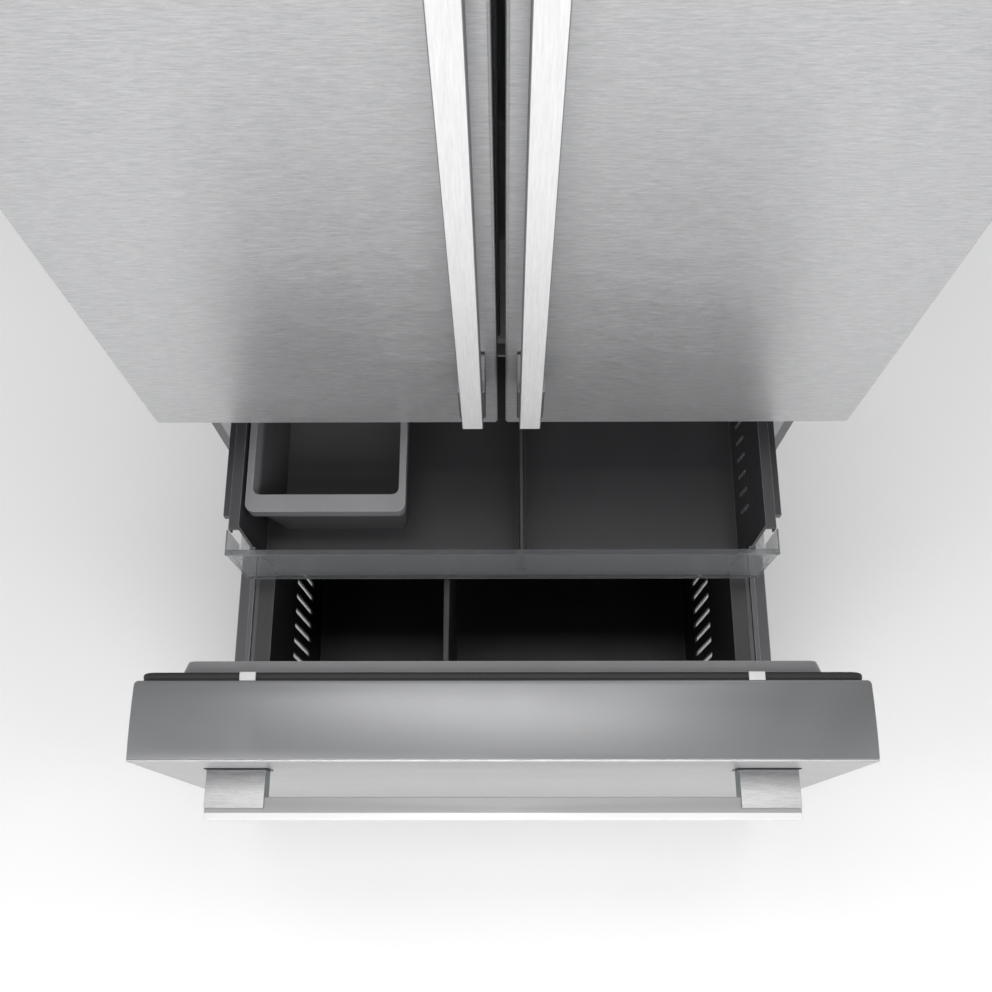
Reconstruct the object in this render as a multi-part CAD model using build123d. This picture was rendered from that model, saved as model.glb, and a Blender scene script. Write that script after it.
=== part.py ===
from build123d import *
import os
from math import cos, pi, sin

# French door refrigerator with a bottom freezer drawer, shown with the drawer and its upper tray pulled out.
# Millimetres. +Z is up from the floor, -Y is the front and X = 0 is the middle of the cabinet.
# Inside this file Y = 0 is the face of the two doors; each part is moved to the footprint's centre when saved.

# overall
half_width = 454.0
depth = 720.0
cabinet_front = 109.5
cabinet_top = 1785.0
cover_top = 1816.0
drawer_travel = 434.6
tray_travel = 290.0

# doors and drawer front
door_gap = 5.2
door_bottom, door_top = 742.0, 1790.0
front_depth = 98.3
gasket_depth = 10.7
gasket_width = 12.0
drawer_bottom, drawer_top = 92.4, 724.4
drawer_crown = 2.5
skin = 1.5
hinge_x, hinge_y = 438.0, 55.0
pin_radius = 5.0
pin_clearance = 0.06

# handles
handle_length = 748.0
handle_reach = 63.0
bar_depth = 28.0
bracket_length = 75.0
bracket_depth = 49.0
bar_width = 25.0
bracket_width = 31.0
door_handle_x = 34.0
door_handle_bottom = 868.0
drawer_handle_z = 634.0

# cabinet body
sheet = 1.2
jamb = 15.0
liner_wall = 3.0
opening_half = 412.0
freezer_floor, freezer_top = 118.0, 712.0
step_y, step_z = 520.0, 300.0
freezer_back = 668.0
fridge_floor, fridge_top = 765.0, 1742.0
fridge_back = 650.0
base_z = 30.0
base_sheet = 3.0
foam_floor = 70.0
rail_z = (718.0, 752.0)
rail_back = 136.0
machine_front, machine_top = 556.0, 264.0

# feet and rollers
foot_x, foot_y = 415.0, 150.0
roller_radius, roller_y = 19.0, 650.0
roller_x = 403.0
bolt_x, bolt_y = 330.0, (200.0, 640.0)
bolt_radius = 5.0

# freezer basket, tray and slides
bin_half = 334.0
bin_y = (-300.0, 75.0)
bin_z = (150.0, 517.0)
slide_z = (381.0, 425.0)
tray_half = 355.0
tray_rim_half = 366.0
tray_back = 322.0
tray_z = (542.0, 672.0)
tray_rail_z = (632.0, 662.0)

# fridge interior
shelf_y = (246.0, 622.0)
shelf_levels = {-1: (1240.0, 1450.0), 1: (1290.0, 1500.0)}
crisper_top = 1008.0
dyke_y = 135.0
door_bin_y = 215.0
door_bin_levels = {-1: (1060.0, 1290.0, 1510.0), 1: (1060.0, 1290.0)}
dairy_z = (1585.0, 1700.0)
lid_y, lid_z = 194.0, 1702.0
dyke_inner, dyke_outer, dyke_wall = 66.0, 406.0, 20.0
mullion_x, mullion_y = -52.0, 120.0
mullion_pin = 2.5

# machinery
fan_z = 628.0
machine_fan = (-47.0, 640.0, 140.0)

back = depth - sheet
footprint_middle = (depth - drawer_travel - handle_reach) / 2


def block(x, y, z):
    size = [high - low for low, high in (x, y, z)]
    middle = [(high + low) / 2 for low, high in (x, y, z)]
    return Pos(*middle) * Box(*size)


def prism(points, axis, low, high):
    start = {
        "x": Plane((low, 0, 0), x_dir=(0, 1, 0), z_dir=(1, 0, 0)),
        "y": Plane((0, high, 0), x_dir=(1, 0, 0), z_dir=(0, -1, 0)),
        "z": Plane((0, 0, low)),
    }[axis]
    return extrude(start * make_face(Polyline(*points, close=True)), high - low)


def rod(start, end, radius):
    span = Vector(*end) - Vector(*start)
    return extrude(Plane(origin=start, z_dir=span) * Circle(radius), span.length)


def other_side(shape):
    return shape.mirror(Plane.YZ)


def both_sides(*shapes):
    return [s for shape in shapes for s in (shape, other_side(shape))]


# A slab with rounded vertical corners whose top and bottom outlines may differ.
def tapered(bottom, top, corner):
    sections = []
    for (x, y), z in (bottom, top):
        outline = RectangleRounded(x[1] - x[0], y[1] - y[0], corner)
        sections.append(Plane(((x[0] + x[1]) / 2, (y[0] + y[1]) / 2, z)) * outline)
    return loft(sections)


# An open box with sloping walls: x and y are its top outline, taper is how far each wall leans in.
def tub(x, y, z, taper, wall, corner):
    def outline(inset):
        return (x[0] + inset, x[1] - inset), (y[0] + inset, y[1] - inset)

    outer = tapered((outline(taper), z[0]), (outline(0), z[1]), corner)
    hollow = tapered((outline(taper + wall), z[0] + wall), (outline(wall), z[1]), corner - wall)
    return outer - hollow


# A rectangular frame in the XZ plane.
def frame(x, z, width, y):
    outer = block(x, y, z)
    return outer - block((x[0] + width, x[1] - width), y, (z[0] + width, z[1] - width))


def serpentine(x, y, z_low, pitch, rows, radius):
    corners = []
    for row in range(rows):
        ends = x if row % 2 == 0 else x[::-1]
        corners += [(end, y, z_low + row * pitch) for end in ends]
    path = FilletPolyline(*corners, radius=pitch / 2 - 0.1)
    return sweep(Plane(origin=path @ 0, z_dir=path % 0) * Circle(radius), path=path)


# ---- cabinet ----


def cabinet_shell():
    plate = block((half_width - sheet, half_width), (cabinet_front, back), (base_z, cabinet_top))
    fold_y = (cabinet_front, cabinet_front + sheet)
    fold = block((half_width - jamb, half_width), fold_y, (base_z, cabinet_top))
    inner = half_width - sheet
    top = block((-inner, inner), (cabinet_front, back), (cabinet_top - sheet, cabinet_top))
    edge = half_width - jamb
    top += block((-edge, edge), (cabinet_front, cabinet_front + sheet), (cabinet_top - jamb, cabinet_top))
    return both_sides(plate + fold) + [top]


def cabinet_insulation():
    front = cabinet_front + liner_wall
    outer, liner = half_width - sheet, opening_half + liner_wall
    inside = (-liner, liner)
    ceiling = cabinet_top - sheet
    side = block((liner, outer), (front, back), (foam_floor, ceiling))
    side -= block((liner, 440), (front, rail_back), (rail_z[0] - 1, rail_z[1] + 1))
    slabs = [
        (front, back, fridge_top + liner_wall, ceiling),
        (fridge_back + liner_wall, back, fridge_floor - liner_wall, fridge_top + liner_wall),
        (rail_back, freezer_back + liner_wall, freezer_top + liner_wall, fridge_floor - liner_wall),
        (freezer_back + liner_wall, back, step_z - liner_wall, fridge_floor - liner_wall),
        (machine_front, back, machine_top, step_z - liner_wall),
        (step_y + liner_wall, machine_front, foam_floor, step_z - liner_wall),
        (front, step_y + liner_wall, foam_floor, freezer_floor - liner_wall),
    ]
    return both_sides(side) + [block(inside, (y0, y1), (z0, z1)) for y0, y1, z0, z1 in slabs]


def back_panel():
    panel = block((-half_width + 1, half_width - 1), (back, depth), (machine_top + 6, cabinet_top - 2))
    rib_x = (-250.0, 0.0, 250.0)
    ribs = [block((x - 30, x + 30), (depth - 0.5, depth), (330, 1720)) for x in rib_x]
    return [panel - Compound(ribs)]


def liner_flange(z, opening_z):
    edge = half_width - jamb - 0.1
    y = (cabinet_front, cabinet_front + liner_wall)
    return block((-edge, edge), y, z) - block((-opening_half, opening_half), y, opening_z)


def fridge_liner():
    outer = block(
        (-opening_half - liner_wall, opening_half + liner_wall),
        (cabinet_front, fridge_back + liner_wall),
        (fridge_floor - liner_wall, fridge_top + liner_wall),
    )
    outer += liner_flange((752.1, 1769.9), (fridge_floor, fridge_top))
    hollow = block((-opening_half, opening_half), (0, fridge_back), (fridge_floor, fridge_top))
    hollow = fillet(hollow.edges().filter_by(Axis.Y), 18)
    return [outer - hollow]


def freezer_liner():
    def stepped(wall):
        points = [
            (cabinet_front, freezer_floor - wall),
            (step_y + wall, freezer_floor - wall),
            (step_y + wall, step_z - wall),
            (freezer_back + wall, step_z - wall),
            (freezer_back + wall, freezer_top + wall),
            (cabinet_front, freezer_top + wall),
        ]
        return prism(points, "x", -opening_half - wall, opening_half + wall)

    flange = liner_flange((87.0, 717.9), (freezer_floor, freezer_top))
    return [stepped(liner_wall) + flange - stepped(0)]


def center_rail():
    edge = half_width - jamb - 0.1
    wall = 2.0
    y = (cabinet_front, rail_back - 1)
    outer = block((-edge, edge), y, rail_z)
    outer -= block((-edge, edge), (y[0] + wall, y[1]), (rail_z[0] + wall, rail_z[1] - wall))
    slot = block((403, 435), (cabinet_front, cabinet_front + wall), (729.5, 735.5))
    return [outer - slot - other_side(slot)]


def base_frame():
    edge = half_width - sheet
    top = base_z + base_sheet
    pan = block((-edge, edge), (118, 716), (base_z, top))
    pan += block((-edge, edge), (118, 121), (top, foam_floor))
    for x in (-300.0, 300.0):
        pan += block((x - 1.5, x + 1.5), (180, 540), (top, foam_floor))
    for side in (-1, 1):
        for y in bolt_y:
            pan -= Pos(side * bolt_x, y, base_z) * Cylinder(bolt_radius, 20)
        pan -= Pos(side * foot_x, foot_y, base_z) * Cylinder(5.5, 20)
        pan -= Pos(side * roller_x, roller_y, base_z) * Box(24, 46, 20)
        for x in (roller_x - 17, roller_x + 17):
            ear = block((x - 2, x + 2), (roller_y - 20, roller_y + 20), (8, base_z))
            ear = fillet(ear.edges().filter_by(Axis.X).sort_by(Axis.Z)[:2], 10)
            pan += Pos(side * x - x, 0, 0) * ear
    bore = 4.0 + pin_clearance
    return [pan - rod((-half_width, roller_y, roller_radius), (half_width, roller_y, roller_radius), bore)]


def leveling_feet():
    pad = fillet(Cylinder(19, 9).edges(), 1.5)
    foot = Pos(foot_x, foot_y, 4.5) * pad
    foot += Pos(foot_x, foot_y, 36) * Cylinder(5, 56)
    for z in (base_z - 6.5, base_z + base_sheet):
        foot += Pos(foot_x, foot_y, z) * extrude(RegularPolygon(9, 6), 6.4)
    return both_sides(foot)


def rear_rollers():
    wheel = Rot(0, 90, 0) * Cylinder(roller_radius, 16)
    wheel = chamfer(wheel.edges(), 1.5)
    wheel -= Rot(0, 90, 0) * (Pos(0, 0, 8) * Cylinder(12, 3))
    axle = rod((-425, roller_y, roller_radius), (425, roller_y, roller_radius), 4.0)
    for side in (-1, 1):
        axle += Pos(side * roller_x, roller_y, roller_radius) * wheel
    return [axle]


def toe_grille():
    plate = block((-446, 446), (100, 103), (12, 84))
    plate = fillet(plate.edges().filter_by(Axis.Y), 6)
    slots = [
        Pos(x, 101.5, z) * Box(62, 10, 5)
        for x in range(-385, 386, 70)
        for z in (26, 37, 48, 59, 70)
    ]
    plate -= Compound(slots)
    tab = block((420, 436), (103, 118), (40, 60))
    return [plate + tab + other_side(tab)]


# The pin hangs down into the top of each door.
def top_hinge():
    plate = block((400, 449), (43, 196), (1792, 1797))
    plate = fillet(plate.edges().filter_by(Axis.Z), 8)
    plate += block((402, 447), (112, 194), (cabinet_top, 1792))
    return plate + Pos(hinge_x, hinge_y, 1783) * Cylinder(pin_radius, 18)


# The pin stands up into the bottom of each door and a shoulder carries its weight.
def center_hinge():
    points = [(404, 44), (449, 44), (449, 106), (434, 106), (434, 134), (404, 134)]
    plate = prism(points, "z", 730, 735)
    plate += Pos(hinge_x, hinge_y, 738) * Cylinder(9, 6)
    return plate + Pos(hinge_x, hinge_y, 748) * Cylinder(pin_radius, 16)


def hinge_covers():
    cover = block((394, 453), (36, 206), (1791, cover_top))
    cover = fillet(cover.edges().filter_by(Axis.Z), 10)
    cover = fillet(cover.faces().sort_by(Axis.Z)[-1].edges(), 5)
    return both_sides(cover - block((399, 450), (42, 198), (1791, cover_top - 3)))


def air_duct():
    duct = block((-70, 70), (626, fridge_back), (1060, 1700))
    duct = fillet(duct.edges().filter_by(Axis.Z).sort_by(Axis.Y)[:2], 8)
    duct -= block((-67, 67), (629, fridge_back), (1063, 1697))
    vents = [
        Pos(x, 627, level + row * 14) * Box(38, 10, 6)
        for x in (-32, 32)
        for level in (1170, 1330, 1490, 1640)
        for row in range(3)
    ]
    return [duct - Compound(vents)]


def control_panel():
    housing = block((-160, 160), (138, 236), (1726, fridge_top))
    housing = fillet(housing.faces().sort_by(Axis.Z)[0].edges(), 4)
    buttons = [block((x - 11, x + 11), (152, 162), (1724.6, 1726)) for x in range(-80, 81, 40)]
    lens = block((-130, 130), (192, 224), (1724.4, 1726))
    return [housing, lens] + buttons


def shelf_ladders():
    strip = block((-7, 7), (644, fridge_back), (1060, 1690))
    slots = [Pos(0, 644, z) * Box(4, 6, 12) for z in range(1080, 1680, 25)]
    strip -= Compound(slots)
    return [Pos(x, 0, 0) * strip for x in (-392, -98, 98, 392)]


def shelf_ring(x, y, z):
    def inside(margin):
        return (x[0] + margin, x[1] - margin), (y[0] + margin, y[1] - margin)

    ring = block(x, y, (z, z + 14))
    ring = fillet(ring.edges().filter_by(Axis.Z), 8)
    return ring - block(*inside(14), (z, z + 14)) - block(*inside(8), (z + 7, z + 14))


def shelf_pane(x, y, z):
    return block((x[0] + 8.2, x[1] - 8.2), (y[0] + 8.2, y[1] - 8.2), (z + 7, z + 11))


def shelf_places():
    places = [((12, 402) if side > 0 else (-402, -12), z) for side in (-1, 1) for z in shelf_levels[side]]
    return [(x, shelf_y, z) for x, z in places]


def shelf_frames():
    shapes = []
    for x, y, z in shelf_places():
        shapes.append(shelf_ring(x, y, z))
        for arm_x in (98.5, 392.5):
            low = (arm_x if x[0] > 0 else -arm_x) - 1.5
            outline = [(262, z), (262, z - 12), (600, z - 38), (643.5, z - 38), (643.5, z - 4), (622, z)]
            shapes.append(prism(outline, "x", low, low + 3))
    return shapes


crisper_shelf = ((-411.8, 411.8), (246.0, 642.0), 1014.0)


def shelf_glass():
    return [shelf_pane(*place) for place in shelf_places() + [crisper_shelf]]


def crisper_cover():
    post = block((-6, 6), (262, 636), (fridge_floor, crisper_shelf[2]))
    return [shelf_ring(*crisper_shelf), post]


def crisper():
    x, y = (12.0, 398.0), (250.0, 606.0)
    box = tub(x, y, (fridge_floor + 3, crisper_top), 8, 3, 14)
    pull = block((90, 320), (243, 252), (978, crisper_top))
    pull = fillet(pull.edges().filter_by(Axis.X).sort_by(Axis.Y)[:2], 3)
    return [box + (pull - block(x, (y[0] + 1.5, y[1]), (970, crisper_top)))]


def evaporator_coil():
    rows, pitch, low = 6, 38.0, 340.0
    tube = serpentine((-305.0, 305.0), 643.0, low, pitch, rows, 4.0)
    fin = block((-0.5, 0.5), (628, 658), (low - 18, low + (rows - 1) * pitch + 18))
    for row in range(rows):
        fin -= rod((-5, 643, low + row * pitch), (5, 643, low + row * pitch), 4.15)
    return [tube] + [Pos(x, 0, 0) * fin for x in range(-280, 281, 20)]


def evaporator_cover():
    plate = block((-409, 409), (620, 624), (306, 704))
    slots = [Pos(x, 622, 326) * Box(44, 10, 6) for x in range(-330, 331, 60)]
    slots += [
        Pos(0, 622, fan_z + rise) * Box(2 * (48 ** 2 - rise ** 2) ** 0.5, 10, 6)
        for rise in (-40, -28, -16, -4, 8, 20, 32, 44)
    ]
    motor = rod((0, 652, fan_z), (0, freezer_back, fan_z), 24)
    return [plate - Compound(slots), motor]


# Blades and hub about the local Z axis, from z = 0 upwards.
def fan(radius, hub, height):
    wheel = Pos(0, 0, height / 2) * Cylinder(hub, height)
    for turn in range(0, 360, 72):
        blade = Pos((radius + hub) / 2 - 1, 0, height / 2) * Rot(32, 0, 0) * Box(radius - hub, height * 1.2, 1.6)
        wheel += Rot(0, 0, turn) * blade
    return wheel & (Pos(0, 0, height / 2) * Cylinder(radius, height))


def evaporator_fan():
    return [Plane((0, 630, fan_z), x_dir=(1, 0, 0), z_dir=(0, 1, 0)).location * fan(50, 16, 21.5)]


def condenser_fan():
    return [Plane(machine_fan, x_dir=(0, 1, 0), z_dir=(1, 0, 0)).location * Pos(0, 0, 1) * fan(58, 18, 24)]


def fan_shroud():
    plate = Pos(0, -3.5, -1.5) * Box(142, 206, 3) - Pos(0, 0, -1.5) * Cylinder(62, 3)
    holder = plate + Pos(0, 0, 46) * Cylinder(22, 40)
    for turn in range(45, 360, 90):
        leg = block((64, 70), (-4, 4), (0, 56)) + block((18, 70), (-4, 4), (50, 56))
        holder += Rot(0, 0, turn) * leg
    return [Plane(machine_fan, x_dir=(0, 1, 0), z_dir=(1, 0, 0)).location * holder]


def compressor():
    x, y = 230.0, 638.0
    can = fillet(Cylinder(68, 155).edges(), 32)
    can = Pos(x, y, 45 + 77.5) * can + block((x + 60, x + 84), (y - 24, y + 24), (95, 145))
    can += rod((x - 30, y, 185), (x - 30, y, 225), 4) + rod((x + 20, y + 30, 180), (x + 20, y + 30, 225), 5)
    plate = block((x - 84, x + 84), (y - 62, y + 62), (41, 45))
    feet = [
        Pos(x + dx, y + dy, 37) * Cylinder(10, 8)
        for dx in (-70, 70)
        for dy in (-48, 48)
    ]
    return [can, plate] + feet


def condenser_coil():
    return [serpentine((-345.0, -110.0), y, 62.0, 30.0, 6, 3.2) for y in (610.0, 660.0)]


inlet = (380.0, 90.0)
valve = (-380.0, 100.0)


def machine_cover():
    plate = block((-452, 452), (back, depth), (34, machine_top + 4))
    slots = [Pos(x, back, z) * Box(44, 10, 6) for x in range(-270, 271, 60) for z in range(60, 241, 18)]
    plate -= Compound(slots)
    for (x, z), radius in ((inlet, 12.0), (valve, 14.0)):
        plate -= rod((x, back - 5, z), (x, depth + 5, z), radius)
    return [plate]


def power_inlet():
    x, z = inlet
    gland = rod((x, 702, z), (x, depth - 0.1, z), 11.8) + rod((x, 711, z), (x, back - 0.1, z), 16)
    return [gland - rod((x, 700, z), (x, depth + 1, z), 4.5)]


def water_valve():
    x, z = valve
    body = block((x - 20, x + 20), (655, 700), (z - 20, z + 20))
    body += rod((x, 678, z + 20), (x, 678, z + 55), 14)
    body += block((x - 12, x + 12), (668, 690), (base_z + base_sheet, z - 20))
    return [body + rod((x, 700, z), (x, depth - 0.5, z), 6)]


# ---- slides ----


# A C section along Y, open towards the middle of the cabinet.
def channel(x, y, z, wall):
    hollow = block((x[0], x[1] - wall), y, (z[0] + wall, z[1] - wall))
    return block(x, y, z) - hollow


def cabinet_slides():
    y_front = 127.5
    outer = channel((398, 411.9), (y_front, 560), slide_z, 2.5)
    rail = block((369, 411.9), (y_front, 605), tray_rail_z) - block((369, 380), (y_front, 605), (640, 654))
    return both_sides(outer, rail)


def slide_middles():
    z = (slide_z[0] + 3.2, slide_z[1] - 3.2)
    half_open = drawer_travel / 2
    return both_sides(channel((394, 408), (130 - half_open, 555 - half_open), z, 2.5))


# Side frames that carry the basket and the inner slide members.
def drawer_rails():
    y_front = -308.0
    side = block((360, 362.5), (y_front, 80), (330, bin_z[1]))
    side += block((362, 367), (y_front, 80), (bin_z[1] - 2.5, bin_z[1]))
    side += block((345, 361), (y_front, 80), (508, 510.5))
    side += block((362, 382), (y_front, 80), (401, 404))
    tube = block((381, 404.8), (y_front, 125), (slide_z[0] + 6.4, slide_z[1] - 6.4))
    tube -= block((383.5, 402.3), (y_front, 125), (slide_z[0] + 8.9, slide_z[1] - 8.9))
    return both_sides(side + tube)


# ---- doors ----


# Bar and two brackets along local Z, standing off the face at Y = 0 towards -Y.
def handle():
    half, front = bar_width / 2, -handle_reach
    bar = block((-half, half), (front, front + bar_depth), (0, handle_length))
    bar = fillet(bar.edges().filter_by(Axis.Z), 1.6)
    bar = fillet(bar.faces().sort_by(Axis.Y)[0].edges().filter_by(Axis.X), 1.2)
    notch = block((-half, half), (front, front + bar_depth), (0, handle_length))
    brackets, pads = [], []
    half = bracket_width / 2
    for z in (0, handle_length - bracket_length):
        foot = block((-half, half), (-bracket_depth, -1.2), (z, z + bracket_length))
        foot = chamfer(foot.edges().filter_by(Axis.Z), 1.2)
        brackets.append(foot - notch)
        pads.append(block((-half, half), (-1.2, 0), (z - 4, z + bracket_length + 4)))
    return [bar], brackets + pads


def door_handle(side):
    place = Pos(side * door_handle_x, 0, door_handle_bottom)
    return [[place * s for s in group] for group in handle()]


def door_panel():
    x, z = (door_gap, half_width), (door_bottom, door_top)
    outer = block(x, (0, front_depth), z)
    outer = fillet(outer.edges().filter_by(Axis.Z).sort_by(Axis.Y)[:2], 4)
    hollow = block((x[0] + skin, x[1] - skin), (skin, front_depth), (z[0] + skin, z[1] - skin))
    shell = outer - hollow
    boss = [block((424, 452.5), (41, 69), (low, high)) for low, high in ((743, 760), (1770, 1789))]
    shell += boss[0] + boss[1]
    for low, high in ((730, 758), (1772, 1800)):
        shell -= rod((hinge_x, hinge_y, low), (hinge_x, hinge_y, high), pin_radius + pin_clearance)
    return shell


# The formed inner skin, with a raised dyke around it that holds the bins.
def door_liner():
    x, z = (door_gap + skin, half_width - skin), (door_bottom + skin, door_top - skin)
    pan = block(x, (front_depth - 2.5, front_depth), z)
    dyke = block((dyke_inner, dyke_outer), (front_depth - 1, dyke_y), (775, 1735))
    dyke = fillet(dyke.edges().filter_by(Axis.Y), 14)
    well_x = (dyke_inner + dyke_wall, dyke_outer - dyke_wall)
    well = block(well_x, (front_depth, dyke_y), (775 + dyke_wall, 1735 - dyke_wall))
    well = fillet(well.edges().filter_by(Axis.Y), 8)
    rounded = fillet((dyke - well).faces().sort_by(Axis.Y)[-1].edges(), 3)
    return pan + rounded


def door_gasket():
    y = (front_depth, front_depth + gasket_depth)
    ring = frame((10, 436), (750, 1764), gasket_width, y)
    groove = frame((14.5, 431.5), (754.5, 1759.5), 3, (y[1] - 5, y[1]))
    return ring - groove


def door_bins(side):
    x = (dyke_inner + dyke_wall + 1, dyke_outer - dyke_wall - 1)
    y = (front_depth + 0.2, door_bin_y)
    return [tub(x, y, (z, z + 105), 6, 2.5, 16) for z in door_bin_levels[side]]


def dairy_box():
    x = (dyke_inner + dyke_wall + 1, dyke_outer - dyke_wall - 1)
    y = (front_depth + 0.2, 190.0)
    box = block(x, y, dairy_z)
    box -= block((x[0] + 2.5, x[1] - 2.5), (y[0] + 2.5, y[1]), (dairy_z[0] + 2.5, dairy_z[1] - 2.5))
    for low, high in ((x[0], x[0] + 8), (x[1] - 8, x[1])):
        ear = block((low, high), (186, lid_y + 5), (lid_z - 8, lid_z + 4))
        box += ear
    return box - rod((0, lid_y, lid_z), (500, lid_y, lid_z), 2 + pin_clearance)


# A curved flap that swings up about the pins at its top edge.
def dairy_lid():
    x = (dyke_inner + dyke_wall + 10, dyke_outer - dyke_wall - 10)
    plate = block(x, (lid_y - 1.4, lid_y + 1.4), (dairy_z[0] + 3, lid_z))
    plate += rod((x[0], lid_y, lid_z), (x[1], lid_y, lid_z), 3)
    plate += rod((x[0] - 7, lid_y, lid_z), (x[1] + 7, lid_y, lid_z), 2)
    plate += block((190, 282), (lid_y + 1, lid_y + 7), (dairy_z[0] + 8, dairy_z[0] + 12))
    return plate


def mullion_axis(low, high, radius):
    return rod((mullion_x, mullion_y, low), (mullion_x, mullion_y, high), radius)


def mullion_flap():
    x, y, z = (-60.0, -1.6), (110.0, 128.0), (772.0, 1738.0)
    bar = block(x, y, z)
    bar = fillet(bar.edges().filter_by(Axis.Z), 2.5)
    bar -= block((-40, -24), (y[0], y[0] + 2), (800, 1710))
    for low, high in ((z[0], z[0] + 11), (z[1] - 11, z[1])):
        bar -= mullion_axis(low, high, mullion_pin + pin_clearance)
    return bar


# Lugs on the left door with the pins that the flap turns on.
def mullion_hinges():
    x, y = (-58, -46), (front_depth, 126)
    low = block(x, y, (766, 771.4)) + mullion_axis(771, 782, mullion_pin)
    high = block(x, y, (1738.6, 1741)) + mullion_axis(1728, 1739, mullion_pin)
    return [low, high]


# ---- freezer drawer ----


def drawer_panel():
    face = -drawer_travel
    plate = block((-half_width, half_width), (face, face + 2.6), (drawer_bottom, drawer_top - drawer_crown))
    return [fillet(plate.faces().sort_by(Axis.Y)[0].edges(), 2.2)]


# A tray-shaped shell behind the front skin, with a gently crowned top.
def drawer_cap():
    y = (-drawer_travel + 2.6, -drawer_travel + front_depth)
    shoulder = drawer_top - drawer_crown
    outline = [
        Line((y[0], shoulder), (y[0], drawer_bottom)),
        Line((y[0], drawer_bottom), (y[1], drawer_bottom)),
        Line((y[1], drawer_bottom), (y[1], shoulder)),
        ThreePointArc((y[1], shoulder), ((y[0] + y[1]) / 2, drawer_top), (y[0], shoulder)),
    ]
    section = Plane((-half_width, 0, 0), x_dir=(0, 1, 0), z_dir=(1, 0, 0)) * make_face(outline)
    outer = extrude(section, 2 * half_width)
    outer = fillet(outer.edges().filter_by(Axis.Z).sort_by(Axis.Y)[-2:], 5.5)
    hollow = block((-half_width + 3, half_width - 3), (y[0], y[1] - 3), (drawer_bottom + 3, shoulder - 3))
    return [outer - hollow]


def drawer_liner():
    y = -drawer_travel + front_depth

    def raised(inset):
        sections = []
        for dy, half, z in ((3.2, 406, (122, 706)), (28.3, 398, (130, 699))):
            outline = RectangleRounded(2 * (half - inset), z[1] - z[0] - 2 * inset, 14 - inset)
            place = Plane((0, y + dy - inset, (z[0] + z[1]) / 2), x_dir=(1, 0, 0), z_dir=(0, 1, 0))
            sections.append(place * outline)
        return loft(sections)

    plate = block((-434, 434), (y, y + 3.2), (112, 706))
    return [plate + raised(0) - raised(3)]


def drawer_gasket():
    y0 = -drawer_travel + front_depth
    y = (y0, y0 + gasket_depth)
    ring = frame((-449, 449), (97, 720), gasket_width, y)
    return [ring - frame((-444.5, 444.5), (101.5, 715.5), 3, (y[1] - 5, y[1]))]


def drawer_clips():
    y0 = -drawer_travel + front_depth
    clip = block((304, 324), (y0, y0 + gasket_depth), (720, 723.4))
    return both_sides(fillet(clip.faces().sort_by(Axis.Z)[-1].edges(), 1))


def drawer_handle():
    place = Pos(-handle_length / 2, -drawer_travel, drawer_handle_z) * Rot(0, 90, 0)
    return [[place * s for s in group] for group in handle()]


def upright_slots(x, y_from, count, pitch, z, width):
    slot = block((x - 12, x + 12), (-width / 2, width / 2), z)
    slot = fillet(slot.edges().filter_by(Axis.X), width / 2 - 0.2)
    return Compound([Pos(0, y_from + step * pitch, 0) * slot for step in range(count)])


def lower_bin():
    x = (-bin_half, bin_half)
    body = tub(x, bin_y, bin_z, 12, 3, 22)
    flange = block((-354, 354), (bin_y[0] - 4, bin_y[1] + 4), (bin_z[1] - 4, bin_z[1]))
    flange = fillet(flange.edges().filter_by(Axis.Z), 12)
    flange += block((350, 354), (-280, 55), (510.6, 514)) + block((-354, -350), (-280, 55), (510.6, 514))
    mouth = tapered(
        (((-bin_half + 3, bin_half - 3), (bin_y[0] + 3, bin_y[1] - 3)), 490),
        (((-bin_half + 3, bin_half - 3), (bin_y[0] + 3, bin_y[1] - 3)), bin_z[1]),
        19,
    )
    body += flange - mouth
    for side in (-1, 1):
        body -= upright_slots(side * 328, -256, 14, 23.7, (242, 366), 8)
    return [body]


def bin_divider():
    plate = block((-83, -79), (-282, 57), (168, 500))
    plate += block((-85, -77), (-290, 65), (500, 508))
    return [plate]


# ---- upper tray ----


def tray_outline(inset, lean):
    side, corner = tray_half - inset - lean, 332.6 - lean - inset * 0.5
    front, rear = -152.7 + inset, tray_back - inset - lean
    return [
        (-side, rear),
        (side, rear),
        (side, -121.5 + inset * 0.5),
        (corner, front),
        (-corner, front),
        (-side, -121.5 + inset * 0.5),
    ]


def tray_solid(inset, floor):
    lean = 12.0
    low = Plane((0, 0, floor)) * make_face(Polyline(*tray_outline(inset, lean), close=True))
    high = Plane((0, 0, tray_z[1])) * make_face(Polyline(*tray_outline(inset, 0), close=True))
    return loft([low, high])


def tray_body():
    top = tray_z[1]
    cavity = tray_solid(3, tray_z[0] + 3)
    body = tray_solid(0, tray_z[0])
    rim = block((-tray_rim_half, tray_rim_half), (-125, tray_back + 2), (top - 3, top))
    rim += block((tray_rim_half - 2.5, tray_rim_half), (-125, tray_back + 2), (656, top))
    rim += block((-tray_rim_half, 2.5 - tray_rim_half), (-125, tray_back + 2), (656, top))
    runner = block((345, 379), (-100, tray_back), (641, 653))
    body += rim + runner + other_side(runner)
    body -= cavity
    body -= block((-328, 328), (-160, -140), (tray_z[0] + 3, top))
    for side in (-1, 1):
        body -= upright_slots(side * 350, -70, 14, 26, (572, 606), 5)
    return [body]


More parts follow.
